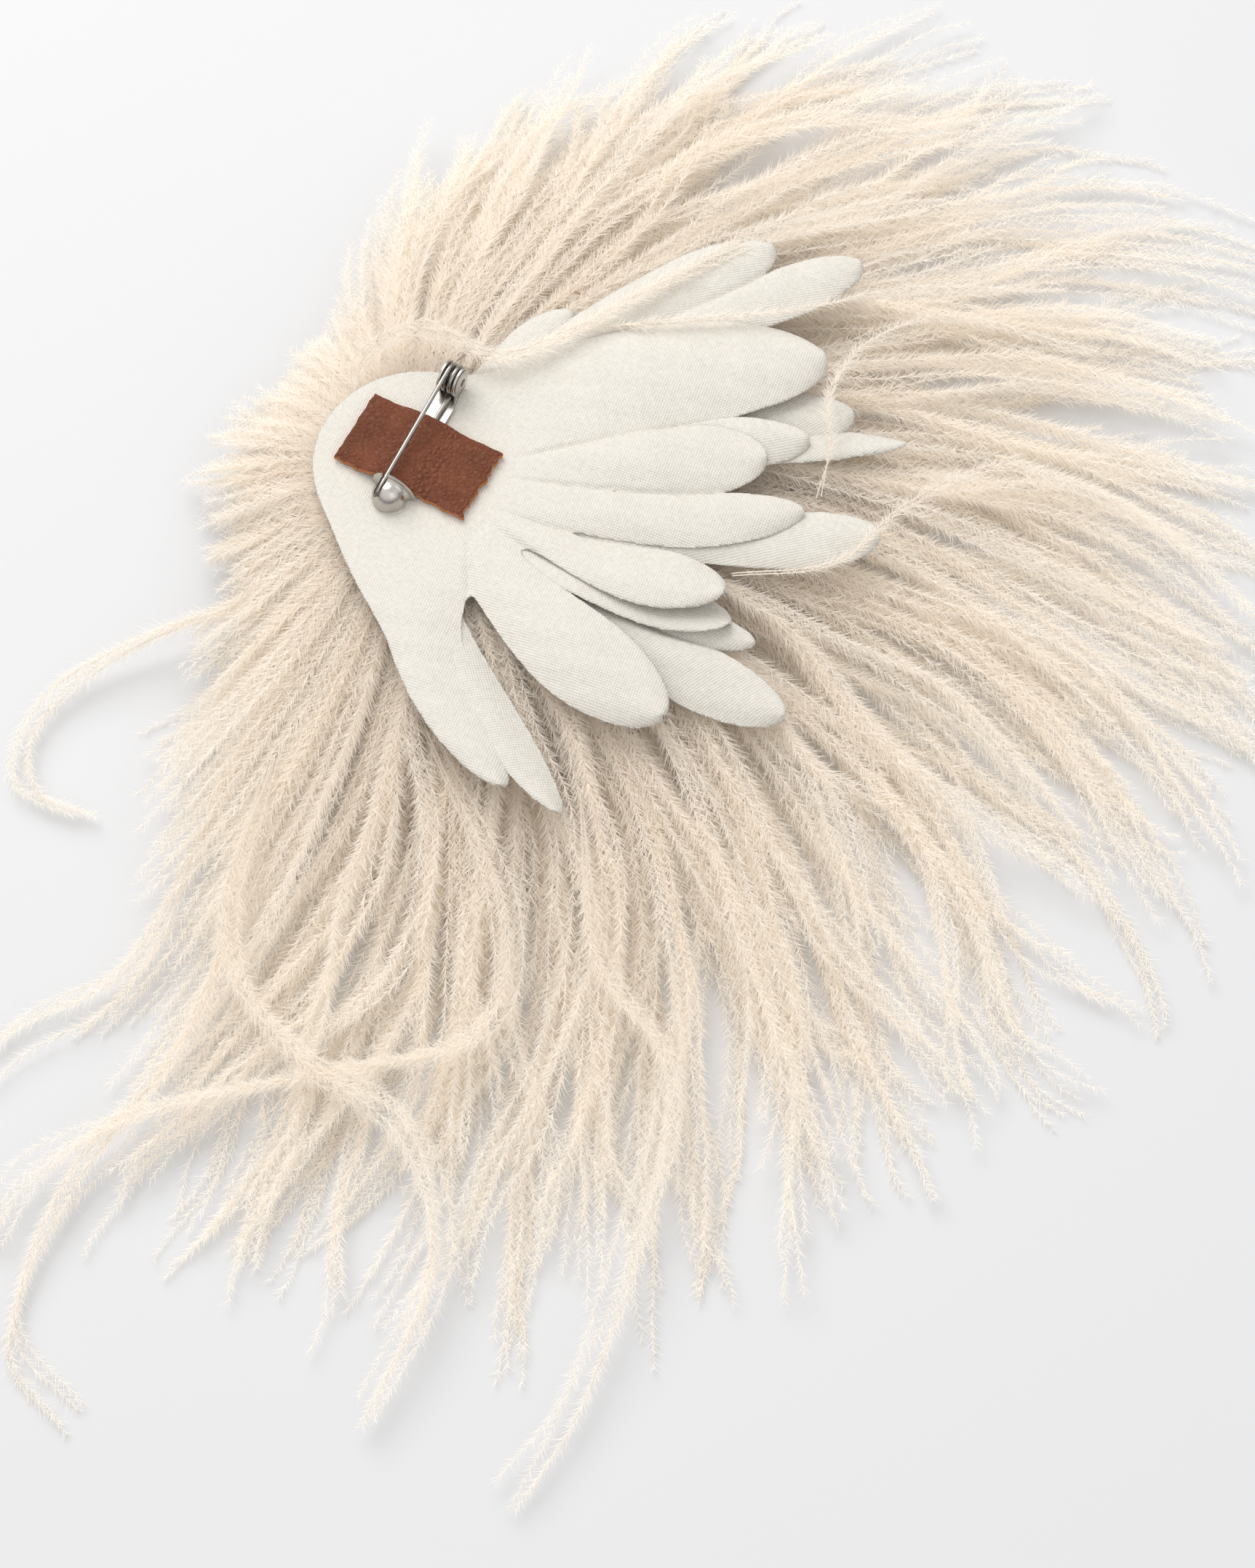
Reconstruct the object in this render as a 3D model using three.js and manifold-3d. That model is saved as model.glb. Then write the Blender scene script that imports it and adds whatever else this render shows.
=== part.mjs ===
// A feather brooch lying face down, with its pin upwards.
// A fan of ostrich plumes is held between two felt discs. Three lobed satin sheets lie over them, and a leather tab
// glued to the top sheet holds the base strip of a sprung brooch pin.
// Millimetres and degrees. +Z is up, z = 0 is the surface that the brooch lies on, and the origin is straight below
// the middle of the pin. The needle turns about the hinge rivet.
import * as THREE from "three";
import { mergeVertices } from "three/addons/utils/BufferGeometryUtils.js";
import Module from "manifold-3d";

const wasm = await Module();
wasm.setup();

// ---- Driving dimensions ----
const GAP = 0.3; // between pieces that touch

// The stack at the hub, from the top down
const BACK_HEIGHT = 28; // resting surface to the top of the upper satin sheet
const HUB = new THREE.Vector2(0, -4); // centre of the satin sheets and of the fan
const HUB_RADIUS = 22; // round middle of a satin sheet
const HUB_STEP = 1; // how much smaller the hub of each lower sheet is
const HUB_SHEET = 0.7; // thickness of the sheet at the hub, where it is glued
const PETAL_SHEET = 0.5; // thickness of a petal
const FELT_RADIUS = 20;
const FELT_THICKNESS = 1.5;
const STEM_WIDTH = 1.3; // a plume's bound quills, where the felt grips them
const STEM_HEIGHT = 1.5;
const STEM_START = 10; // distance of the quills' cut ends from the hub's centre

// Pin
const PIN_TURN = -118; // direction of the needle, from hinge to catch
const STRIP_THICKNESS = 0.5;
const STRIP_WIDTH = 5.6;
const WIRE = 1; // diameter of the pin's wire
const COIL_RADIUS = 2.8; // to the middle of the wire
const RIVET_X = -15.4; // rivet's place along the pin, from its middle
const RIVET_RADIUS = 2;
const RIVET_CLEARANCE = 0.1;
const RIVET_HEAD = 0.35; // how far a rivet head stands out
const RIVET_HEAD_RADIUS = 2.7;
const EAR_RADIUS = 3.4;
const EAR_THICKNESS = 0.5;
const TURN_SPACING = 1.5; // between the middles of the two coil turns
const NEEDLE_REACH = 15.3; // place of the needle's point along the pin
const NEEDLE_POINT = 3; // length of its taper
const NEEDLE_DROP = 3.2; // how much lower the needle is at the hood's mouth than at the coil
const LEG_LENGTH = 11; // of the fixed end of the spring, from the coil's middle

// Catch hood
const HOOD_MOUTH = 11.6; // place of its mouth along the pin
const HOOD_OFFSET = 1; // of its middle, beside the pin's middle
const HOOD_LENGTH = 5.8;
const HOOD_HALF_WIDTH = 4.2;
const HOOD_HEIGHT = 5;
const HOOD_WALL = 0.5;
const HOOD_RIM = 0.8; // width of the flange round the mouth
const SLOT_CLEARANCE = 0.35; // beside the needle, in the hood's slot

// Leather tab
const LEATHER_LENGTH = 30.5; // along the rivet
const LEATHER_WIDTH = 17.2; // along the needle
const LEATHER_THICKNESS = 1.2;
const LEATHER_AHEAD = 2.6; // of its middle along the pin
const LEATHER_ASIDE = 1.6; // of its middle beside the pin
const ARCH_SLOPE = 5.5; // length of each flank of the arch over the strip
const ARCH_CLEARANCE = 0.8; // between the strip and the leather

// Plumes
const FAN_TURN = 24; // how far a barb swings clockwise from its root to the longest reach
const FAN_REFERENCE = 200; // reach at which it has turned that far
const FAN_START = 102; // direction of the first long plume's anticlockwise edge, at the hub
const LONG_SPREAD = 196; // angle that the long plumes fill
const LONG_REACHES = [115, 155, 190, 205, 212, 212, 212, 208, 198, 194, 204, 204, 204, 198];
const SHORT_REACHES = [140, 74, 54, 54, 57, 50, 62];
const PLUME_GAP = 0.5; // between neighbouring plumes
const TIP_START = 0.72; // share of its reach from which a plume narrows
const TIP_WIDTH = 0.2; // share of its width that is left at the tip
const PLUME_SIDES = 8; // of a plume's section
const FAN_RIM_DROP = 9; // how far the fan's top sinks from the droop's reach to the reference reach
const LONG = { pitch: 22, fullAt: 46, landsAt: () => 105 }; // sections, full width and first touch of the surface
const SHORT = { pitch: 11, fullAt: 34, landsAt: (reach) => reach };

// Face side
const RUFF_FLAT = 34; // radius of the flat that the brooch rests on
const RUFF_RADIUS = 40;
const RUFF_EDGE = 4; // height of its widest place

// Heights that follow from the stack
const SHEET_PITCH = HUB_SHEET + GAP;
const SHEETS = 3;
const FELT_TOP = BACK_HEIGHT - SHEETS * SHEET_PITCH;
const STEM_TOP = FELT_TOP - FELT_THICKNESS - GAP;
const FACE_FELT_TOP = STEM_TOP - STEM_HEIGHT - GAP;
const RUFF_TOP = FACE_FELT_TOP - FELT_THICKNESS - GAP;

// Heights of the pin above the satin
const STRIP_BOTTOM = GAP;
const RIVET_HEIGHT = STRIP_BOTTOM + STRIP_THICKNESS + GAP + WIRE / 2 + COIL_RADIUS;
const NEEDLE_SLOPE = Math.atan(NEEDLE_DROP / (HOOD_MOUTH - RIVET_X));

// ---- Materials ----
const material = (color, roughness, metalness = 0) =>
  new THREE.MeshStandardMaterial({ color, roughness, metalness });
const NICKEL = material(0xb9b6b0, 0.25, 1);
const LEATHER = material(0x85503c, 0.6);
const SATIN = material(0xf2ece2, 0.55);
const FELT = material(0xeee6d8, 0.95);
const FEATHER = material(0xecdfcd, 0.9);

// ---- Solids ----
const radians = THREE.MathUtils.degToRad;

// A closed geometry as a manifold-3d solid.
function solid(geometry) {
  const bare = geometry.clone();
  bare.deleteAttribute("normal");
  bare.deleteAttribute("uv");
  const merged = mergeVertices(bare, 1e-4);
  return new wasm.Manifold(
    new wasm.Mesh({
      numProp: 3,
      vertProperties: new Float32Array(merged.attributes.position.array),
      triVerts: new Uint32Array(merged.index.array),
    }),
  );
}

// A manifold-3d solid as a geometry with flat faces.
function geometryOf(made) {
  const mesh = made.getMesh();
  const geometry = new THREE.BufferGeometry();
  geometry.setAttribute("position", new THREE.BufferAttribute(mesh.vertProperties, 3));
  geometry.setIndex(new THREE.BufferAttribute(mesh.triVerts, 1));
  const flat = geometry.toNonIndexed();
  flat.computeVertexNormals();
  return flat;
}

function join(...geometries) {
  return geometryOf(geometries.map(solid).reduce((whole, next) => whole.add(next)));
}

function cut(geometry, ...tools) {
  return geometryOf(tools.map(solid).reduce((rest, tool) => rest.subtract(tool), solid(geometry)));
}

function box(x0, x1, y0, y1, z0, z1) {
  const made = new THREE.BoxGeometry(x1 - x0, y1 - y0, z1 - z0);
  return made.translate((x0 + x1) / 2, (y0 + y1) / 2, (z0 + z1) / 2);
}

// A cylinder along Y, as the rivet lies.
function crossCylinder(radius, y0, y1, x, z, sides = 32) {
  const made = new THREE.CylinderGeometry(radius, radius, y1 - y0, sides);
  return made.translate(x, (y0 + y1) / 2, z);
}

function disc(radius, bottom, top, sides = 48) {
  const made = new THREE.CylinderGeometry(radius, radius, top - bottom, sides);
  return made.rotateX(Math.PI / 2).translate(HUB.x, HUB.y, (bottom + top) / 2);
}

// A closed solid through sections, each a ring of as many points as the next. Seen from the first section towards
// the last, a ring runs anticlockwise.
function loft(sections) {
  const ring = sections[0].length;
  const points = sections.flat();
  const faces = [];
  for (let s = 0; s + 1 < sections.length; s++) {
    for (let k = 0; k < ring; k++) {
      const a = s * ring + k;
      const b = s * ring + ((k + 1) % ring);
      faces.push(a, a + ring, b, b, a + ring, b + ring);
    }
  }
  const last = (sections.length - 1) * ring;
  for (let k = 1; k + 1 < ring; k++) {
    faces.push(0, k, k + 1);
    faces.push(last, last + k + 1, last + k);
  }
  const geometry = new THREE.BufferGeometry().setFromPoints(points);
  geometry.setIndex(faces);
  return geometry;
}

function named(name, geometry, look) {
  const mesh = new THREE.Mesh(geometry, look);
  mesh.name = name;
  return mesh;
}

// A smooth step from 0 at a to 1 at b.
const step = (value, a, b) => THREE.MathUtils.smoothstep(value, a, b);

// ---- Pin, in its own frame: +X from hinge to catch, +Z up, z = 0 on the satin ----
const STRIP_TOP = STRIP_BOTTOM + STRIP_THICKNESS;
const EAR_INSIDE = TURN_SPACING / 2 + WIRE / 2 + GAP;
const EAR_OUTSIDE = EAR_INSIDE + EAR_THICKNESS;

function baseStrip() {
  const half = STRIP_WIDTH / 2;
  const shoulder = RIVET_X + EAR_RADIUS * 1.45; // where the strip has its full width
  const outline = new THREE.Shape([
    new THREE.Vector2(RIVET_X, -EAR_OUTSIDE),
    new THREE.Vector2(RIVET_X + EAR_RADIUS / 2, -EAR_OUTSIDE),
    new THREE.Vector2(shoulder, -half),
    new THREE.Vector2(HOOD_MOUTH + HOOD_WALL, -half),
    new THREE.Vector2(HOOD_MOUTH + HOOD_WALL, half),
    new THREE.Vector2(shoulder, half),
    new THREE.Vector2(RIVET_X + EAR_RADIUS / 2, EAR_OUTSIDE),
    new THREE.Vector2(RIVET_X, EAR_OUTSIDE),
  ]);
  const strip = new THREE.ExtrudeGeometry(outline, { depth: STRIP_THICKNESS, bevelEnabled: false });
  return strip.translate(0, 0, STRIP_BOTTOM);
}

function ear(side) {
  const [y0, y1] = side > 0 ? [EAR_INSIDE, EAR_OUTSIDE] : [-EAR_OUTSIDE, -EAR_INSIDE];
  const plate = crossCylinder(EAR_RADIUS, y0, y1, RIVET_X, RIVET_HEIGHT);
  const foot = box(RIVET_X - EAR_RADIUS / 3, RIVET_X + EAR_RADIUS / 2, y0, y1, STRIP_BOTTOM, RIVET_HEIGHT / 2);
  const hole = crossCylinder(RIVET_RADIUS + RIVET_CLEARANCE, y0 - 1, y1 + 1, RIVET_X, RIVET_HEIGHT);
  return cut(join(plate, foot), hole);
}

// Half of an ellipsoid's ball that stands on the strip's underside, ahead of the mouth.
function hoodBall(inset) {
  const ball = new THREE.SphereGeometry(1, 28, 18);
  ball.scale(HOOD_LENGTH - inset, HOOD_HALF_WIDTH - inset, HOOD_HEIGHT - inset);
  return ball.translate(HOOD_MOUTH, HOOD_OFFSET, STRIP_BOTTOM);
}

function catchHood() {
  const far = HOOD_MOUTH + HOOD_LENGTH + 1;
  const side = HOOD_HALF_WIDTH + HOOD_RIM + 1;
  const keep = box(HOOD_MOUTH, far, HOOD_OFFSET - side, HOOD_OFFSET + side, STRIP_BOTTOM, HOOD_HEIGHT + 2);
  const shell = solid(hoodBall(0)).intersect(solid(keep));
  const flange = new THREE.CylinderGeometry(1, 1, HOOD_WALL, 36).rotateZ(Math.PI / 2);
  flange.scale(1, HOOD_HALF_WIDTH + HOOD_RIM, HOOD_HEIGHT + HOOD_RIM);
  flange.translate(HOOD_MOUTH + HOOD_WALL / 2, HOOD_OFFSET, STRIP_BOTTOM);
  const rim = solid(flange).intersect(solid(keep));
  const inside = solid(hoodBall(HOOD_WALL)).intersect(
    solid(box(HOOD_MOUTH - 1, far, HOOD_OFFSET - side, HOOD_OFFSET + side, STRIP_TOP, HOOD_HEIGHT + 2)),
  );
  const slotHalf = WIRE / 2 + SLOT_CLEARANCE;
  const needleY = -TURN_SPACING / 2;
  const slotFloor = RIVET_HEIGHT + COIL_RADIUS - NEEDLE_DROP - WIRE * 2;
  const slot = box(
    HOOD_MOUTH - 1, NEEDLE_REACH + 1, needleY - slotHalf, needleY + slotHalf, slotFloor, HOOD_HEIGHT + 3,
  );
  return geometryOf(shell.add(rim).subtract(inside).subtract(solid(slot)));
}

function pinBase() {
  return join(baseStrip(), ear(1), ear(-1), catchHood());
}

function hingeRivet() {
  const headFace = EAR_OUTSIDE + RIVET_CLEARANCE;
  const inHead = headFace + RIVET_HEAD / 4;
  const barrel = crossCylinder(RIVET_RADIUS, -inHead, inHead, RIVET_X, RIVET_HEIGHT);
  return join(barrel, rivetHead(1, headFace), rivetHead(-1, headFace));
}

// A shallow dome on the rivet's end, turned from the outline of half of its section.
function rivetHead(side, start) {
  const profile = [new THREE.Vector2(0, 0), new THREE.Vector2(RIVET_HEAD_RADIUS, 0)];
  for (let k = 1; k <= 4; k++) {
    const angle = radians((90 * k) / 4);
    profile.push(new THREE.Vector2(RIVET_HEAD_RADIUS * Math.cos(angle), RIVET_HEAD * Math.sin(angle)));
  }
  profile[profile.length - 1].x = 0;
  const head = new THREE.LatheGeometry(profile, 24);
  if (side < 0) head.rotateX(Math.PI);
  return head.translate(RIVET_X, side * start, RIVET_HEIGHT);
}

// One turn of the coil, a closed ring about the rivet.
function coilTurn(y) {
  const ring = new THREE.TorusGeometry(COIL_RADIUS, WIRE / 2, 10, 36);
  return ring.rotateX(Math.PI / 2).translate(RIVET_X, y, RIVET_HEIGHT);
}

// The needle leaves the coil's top along a tangent and slopes down to the hood.
function pinNeedle() {
  const start = COIL_RADIUS * Math.sin(NEEDLE_SLOPE);
  const length = (NEEDLE_REACH - RIVET_X - start) / Math.cos(NEEDLE_SLOPE);
  const shaft = new THREE.LatheGeometry(
    [
      new THREE.Vector2(0, 0),
      new THREE.Vector2(WIRE / 2, 0),
      new THREE.Vector2(WIRE / 2, length - NEEDLE_POINT),
      new THREE.Vector2(WIRE / 4, length - NEEDLE_POINT / 4),
      new THREE.Vector2(0, length),
    ],
    12,
  );
  shaft.rotateZ(-Math.PI / 2).translate(0, 0, COIL_RADIUS);
  shaft.rotateY(NEEDLE_SLOPE).translate(RIVET_X, -TURN_SPACING / 2, RIVET_HEIGHT);
  return join(coilTurn(-TURN_SPACING / 2), shaft);
}

// The fixed leg leaves the coil's bottom and runs along the strip.
function springLeg() {
  const leg = new THREE.CylinderGeometry(WIRE / 2, WIRE / 2, LEG_LENGTH, 12).rotateZ(-Math.PI / 2);
  leg.translate(RIVET_X + LEG_LENGTH / 2, TURN_SPACING / 2, RIVET_HEIGHT - COIL_RADIUS);
  return join(coilTurn(TURN_SPACING / 2), leg);
}

// Height of the leather's underside beside the pin: up over the strip, down on the satin.
function archHeight(y) {
  const flat = STRIP_WIDTH / 2 + GAP;
  const away = Math.max(0, Math.abs(y) - flat);
  return GAP + (STRIP_THICKNESS + ARCH_CLEARANCE) * (1 - step(away, 0, ARCH_SLOPE));
}

function leatherTab() {
  const left = LEATHER_ASIDE - LEATHER_LENGTH / 2;
  const steps = 28;
  const under = [];
  for (let k = 0; k <= steps; k++) {
    const y = left + (LEATHER_LENGTH * k) / steps;
    under.push(new THREE.Vector2(y, archHeight(y)));
  }
  const over = under.map((p) => new THREE.Vector2(p.x, p.y + LEATHER_THICKNESS)).reverse();
  const outline = new THREE.Shape([...under, ...over]);
  const tab = new THREE.ExtrudeGeometry(outline, { depth: LEATHER_WIDTH, bevelEnabled: false });
  tab.rotateX(Math.PI / 2).rotateZ(Math.PI / 2);
  tab.translate(LEATHER_AHEAD - LEATHER_WIDTH / 2, 0, 0);
  const groove = WIRE / 2 + GAP;
  const legEnd = RIVET_X + LEG_LENGTH + GAP;
  const middle = RIVET_HEIGHT - COIL_RADIUS;
  const channel = box(
    legEnd - 10, legEnd, TURN_SPACING / 2 - groove, TURN_SPACING / 2 + groove, 0, middle + groove,
  );
  return cut(tab, channel);
}

// ---- Satin sheets ----
// Each petal: direction and reach of its tip from the hub's centre, width, how blunt its tip is, and how far its
// root is turned from its tip. neck is the share of its width that it has at its root, and full the share of its
// length at which it has its whole width.
const UPPER_PETALS = [
  { toward: 18, reach: 91, width: 27, blunt: 0.46, swing: 12, neck: 0.95 },
  { toward: 2.5, reach: 73.5, width: 17, blunt: 0.25, swing: -3, neck: 0.5 },
  { toward: -6.5, reach: 81.5, width: 14, blunt: 0.38, swing: -17, neck: 0.6 },
  { toward: -24.5, reach: 70.5, width: 15.5, blunt: 0.28, swing: -15, neck: 0.1 },
  { toward: -48.5, reach: 77, width: 22, blunt: 0.38, swing: -12, neck: 0.45 },
  { toward: -75.5, reach: 75, width: 15.5, blunt: 0.5, swing: -21, neck: 2.6, full: 0.5 },
];
const MIDDLE_PETALS = [
  { toward: 37, reach: 95, width: 14, blunt: 0.22, swing: 9, neck: 0.6 },
  { toward: 29.8, reach: 109.5, width: 12.5, blunt: 0.18, swing: 3, neck: 0.6 },
  { toward: 6, reach: 83, width: 13, blunt: 0.3, swing: 0 },
  { toward: -8, reach: 98, width: 13.5, blunt: 0.18, swing: -14, neck: 0.95 },
  { toward: -28, reach: 74, width: 14, blunt: 0.3, swing: -14, neck: 0.8 },
  { toward: -68.5, reach: 83, width: 12, blunt: 0.5, swing: -15 },
];
const LOWER_PETALS = [
  { toward: 50.5, reach: 50.5, width: 11, blunt: 0.4, swing: 5, neck: 0.6 },
  { toward: 10.5, reach: 94, width: 16, blunt: 0.3, swing: 0 },
  { toward: 5.5, reach: 104, width: 13, blunt: 0.8, swing: 2 },
  { toward: -28.5, reach: 80, width: 13, blunt: 0.5, swing: -15 },
  { toward: -35.5, reach: 93.5, width: 15, blunt: 0.25, swing: -12 },
];
const PETAL_ROOT = 12; // distance from the hub's centre at which a petal starts, inside the hub
const PETAL_DROOP = 7; // of a petal's middle surface at the droop's reach
const DROOP_REACH = 90;
const PETAL_NECK = 0.2; // of a petal that has no neck of its own
const PETAL_FULL = 0.85;
const PETAL_STATIONS = 13;

// How far a sheet has sunk at a distance from the hub's centre.
const droop = (distance) =>
  PETAL_DROOP * Math.pow(Math.max(0, distance - HUB_RADIUS) / (DROOP_REACH - HUB_RADIUS), 1.5);

// Share of a petal's width along its length, from its neck to its closed tip.
function petalShare(along, { blunt, neck = PETAL_NECK, full = PETAL_FULL }) {
  const tip = Math.max(0, along - (1 - blunt)) / blunt;
  return THREE.MathUtils.lerp(neck, 1, step(along, 0, full)) * Math.sqrt(Math.max(0, 1 - tip * tip));
}

function polar(angle, distance, z) {
  return new THREE.Vector3(HUB.x + distance * Math.cos(angle), HUB.y + distance * Math.sin(angle), z);
}

function petal(shape, middle) {
  const { toward, reach, width, swing } = shape;
  const sections = [];
  for (let k = 0; k < PETAL_STATIONS; k++) {
    const along = Math.sin((Math.PI / 2) * (k / (PETAL_STATIONS - 1))) * 0.995;
    const distance = PETAL_ROOT + (reach - PETAL_ROOT) * along;
    const angle = radians(toward + swing * (1 - along));
    const half = (width / 2) * petalShare(along, shape);
    const across = new THREE.Vector3(-Math.sin(angle), Math.cos(angle), 0).multiplyScalar(half);
    const centre = polar(angle, distance, middle - droop(distance));
    const up = new THREE.Vector3(0, 0, PETAL_SHEET / 2);
    sections.push([
      centre.clone().sub(across).sub(up),
      centre.clone().sub(across).add(up),
      centre.clone().add(across).add(up),
      centre.clone().add(across).sub(up),
    ]);
  }
  return loft(sections);
}

function satinSheet(petals, level) {
  const top = BACK_HEIGHT - level * SHEET_PITCH;
  const hub = disc(HUB_RADIUS - level * HUB_STEP, top - HUB_SHEET, top);
  return join(hub, ...petals.map((each) => petal(each, top - HUB_SHEET / 2)));
}

// ---- Plumes ----
// Direction of the edge between two plumes at a distance from the hub's centre.
const edgeDirection = (root, distance) =>
  root - FAN_TURN * Math.max(0, (distance - HUB_RADIUS) / (FAN_REFERENCE - HUB_RADIUS));

// Top of the fan at a distance from the hub's centre: between the felts at the hub, then close under the satin.
function fanTop(distance) {
  const underSatin = FELT_TOP - PETAL_SHEET - droop(Math.min(distance, DROOP_REACH));
  const beyond = Math.max(0, distance - DROOP_REACH) / (FAN_REFERENCE - DROOP_REACH);
  const risen = step(distance, FELT_RADIUS, FELT_RADIUS + (HUB_RADIUS - STEM_START));
  return THREE.MathUtils.lerp(STEM_TOP, underSatin - FAN_RIM_DROP * beyond, risen);
}

// Bottom of the fan, which curves down to the resting surface.
function fanBottom(distance, landing) {
  const down = THREE.MathUtils.clamp((distance - HUB_RADIUS) / (landing - HUB_RADIUS), 0, 1);
  return (STEM_TOP - STEM_HEIGHT) * Math.pow(1 - down, 1.4);
}

// Distances of a plume's sections from the hub's centre, the same for neighbours so that their edges agree.
function plumeStations(reach, pitch) {
  const stations = [STEM_START, FELT_RADIUS + 1];
  for (let next = FELT_RADIUS + 6; next < reach - pitch / 3; next += pitch) stations.push(next);
  return [...stations, reach];
}

// A plume between two edges: thin bound quills at the hub, then a flattened tongue that lands on the surface.
function plume(rootA, rootB, reach, { pitch, fullAt, landsAt }) {
  const sections = plumeStations(reach, pitch).map((distance) => {
    const a = radians(edgeDirection(rootA, distance));
    const b = radians(edgeDirection(rootB, distance));
    const top = fanTop(distance);
    const bottom = fanBottom(distance, landsAt(reach));
    const tip = Math.max(0, (distance / reach - TIP_START) / (1 - TIP_START));
    const narrowing = Math.sqrt(Math.max(TIP_WIDTH * TIP_WIDTH, 1 - tip * tip));
    const room = ((a - b) / 2) * distance - PLUME_GAP / 2;
    const fullness = step(distance, FELT_RADIUS + 1, fullAt);
    const half = THREE.MathUtils.lerp(STEM_WIDTH / 2, room * narrowing, fullness);
    const depth = Math.max(STEM_HEIGHT, ((top - bottom) * (1 + narrowing)) / 2);
    return plumeSection((a + b) / 2, distance, half, bottom, depth);
  });
  return loft(sections);
}

// A ring of points round a plume, bent to the circle round the hub so that neighbours stay apart.
function plumeSection(angle, distance, half, bottom, depth) {
  const points = [];
  const corner = Math.PI / PLUME_SIDES;
  for (let k = 0; k < PLUME_SIDES; k++) {
    const turn = corner * (2 * k + 1);
    const across = (half * Math.cos(turn)) / Math.cos(corner);
    const up = (depth / 2) * (1 + Math.sin(turn) / Math.cos(corner));
    points.push(polar(angle - across / distance, distance, bottom + up));
  }
  return points;
}

// Plumes side by side, clockwise from a first direction.
function plumes(prefix, first, spread, reaches, kind) {
  const width = spread / reaches.length;
  return reaches.map((reach, i) => {
    const rootA = first - width * i;
    return named(`${prefix}_${i + 1}`, plume(rootA, rootA - width, reach, kind), FEATHER);
  });
}

// The feathers on the face, pressed flat where the brooch lies on them.
function faceRuff() {
  const profile = [
    new THREE.Vector2(0, 0),
    new THREE.Vector2(RUFF_FLAT, 0),
    new THREE.Vector2(RUFF_RADIUS, RUFF_EDGE),
    new THREE.Vector2(FELT_RADIUS + 2, RUFF_TOP - 1),
    new THREE.Vector2(FELT_RADIUS, RUFF_TOP),
    new THREE.Vector2(0, RUFF_TOP),
  ];
  const made = new THREE.LatheGeometry(profile, 40).rotateX(Math.PI / 2);
  return made.translate(HUB.x, HUB.y, 0);
}

// ---- Assembly ----
const brooch = new THREE.Group();

const pin = new THREE.Group();
pin.position.z = BACK_HEIGHT;
pin.rotation.z = radians(PIN_TURN);
pin.add(
  named("pin_base", pinBase(), NICKEL),
  named("hinge_rivet", hingeRivet(), NICKEL),
  named("pin_needle", pinNeedle(), NICKEL),
  named("spring_leg", springLeg(), NICKEL),
  named("leather_tab", leatherTab(), LEATHER),
);

brooch.add(
  pin,
  named("satin_upper_layer", satinSheet(UPPER_PETALS, 0), SATIN),
  named("satin_middle_layer", satinSheet(MIDDLE_PETALS, 1), SATIN),
  named("satin_lower_layer", satinSheet(LOWER_PETALS, 2), SATIN),
  named("felt_pad", disc(FELT_RADIUS, FELT_TOP - FELT_THICKNESS, FELT_TOP), FELT),
  named("face_felt", disc(FELT_RADIUS, FACE_FELT_TOP - FELT_THICKNESS, FACE_FELT_TOP), FELT),
  named("face_ruff", faceRuff(), FEATHER),
  ...plumes("long_plume", FAN_START, LONG_SPREAD, LONG_REACHES, LONG),
  ...plumes("short_plume", FAN_START - LONG_SPREAD, 360 - LONG_SPREAD, SHORT_REACHES, SHORT),
);

export default brooch;
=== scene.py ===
"""A feather brooch lying face down: ostrich barbs, satin petals, a leather tab and a sprung pin.

Sizes are in millimetres and degrees up to the moment a mesh is made, which is in metres.
"""
import math
from collections import namedtuple

import bpy
import numpy as np
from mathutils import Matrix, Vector

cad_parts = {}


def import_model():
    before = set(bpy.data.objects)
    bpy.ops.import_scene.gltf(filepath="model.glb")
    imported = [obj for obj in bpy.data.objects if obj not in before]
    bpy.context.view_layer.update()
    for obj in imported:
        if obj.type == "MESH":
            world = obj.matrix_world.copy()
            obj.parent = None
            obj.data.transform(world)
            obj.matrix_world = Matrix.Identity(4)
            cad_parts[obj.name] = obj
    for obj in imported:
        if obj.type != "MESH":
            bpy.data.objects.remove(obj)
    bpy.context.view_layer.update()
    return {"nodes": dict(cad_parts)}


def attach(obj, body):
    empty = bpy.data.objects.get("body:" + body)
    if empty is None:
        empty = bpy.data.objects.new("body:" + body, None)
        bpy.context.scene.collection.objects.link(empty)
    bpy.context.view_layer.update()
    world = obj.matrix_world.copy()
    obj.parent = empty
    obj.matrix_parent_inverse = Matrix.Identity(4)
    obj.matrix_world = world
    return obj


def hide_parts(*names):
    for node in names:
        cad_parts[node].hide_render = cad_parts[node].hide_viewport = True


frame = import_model()
MM = 0.001

# ---- Sizes shared with the frame ----
BACK_HEIGHT = 28.0  # resting surface to the top of the upper satin sheet
HUB = np.array([0.0, -4.0])  # centre of the satin sheets and of the fan
HUB_RADIUS = 22.0
HUB_STEP = 1.0  # how much smaller the hub of each lower sheet is
SHEET_PITCH = 1.0  # from one sheet at the hub to the next
FELT_RADIUS = 20.0
FELT_TOP = 25.0
STEM_TOP = 23.2  # of the bound quills between the felts
STEM_START = 10.0  # distance of the quills' cut ends from the hub's centre
PIN_TURN = -118.0  # direction of the needle, from hinge to catch
RIVET_X = -15.4
RIVET_HEIGHT = 4.4  # above the satin
COIL_RADIUS = 2.8
WIRE = 1.0
TURN_SPACING = 1.5
STRIP_BOTTOM = 0.3
STRIP_THICKNESS = 0.5
STRIP_WIDTH = 5.6
EAR_RADIUS = 3.4
EAR_THICKNESS = 0.5
EAR_INSIDE = 1.55
RIVET_RADIUS = 2.0
RIVET_HEAD_RADIUS = 2.7
NEEDLE_REACH = 15.3
NEEDLE_DROP = 3.2
NEEDLE_POINT = 3.0
LEG_LENGTH = 11.0
HOOD_MOUTH = 11.6
HOOD_OFFSET = 1.0
HOOD_LENGTH = 5.8
HOOD_HALF_WIDTH = 4.2
HOOD_HEIGHT = 5.0
HOOD_WALL = 0.5
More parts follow.
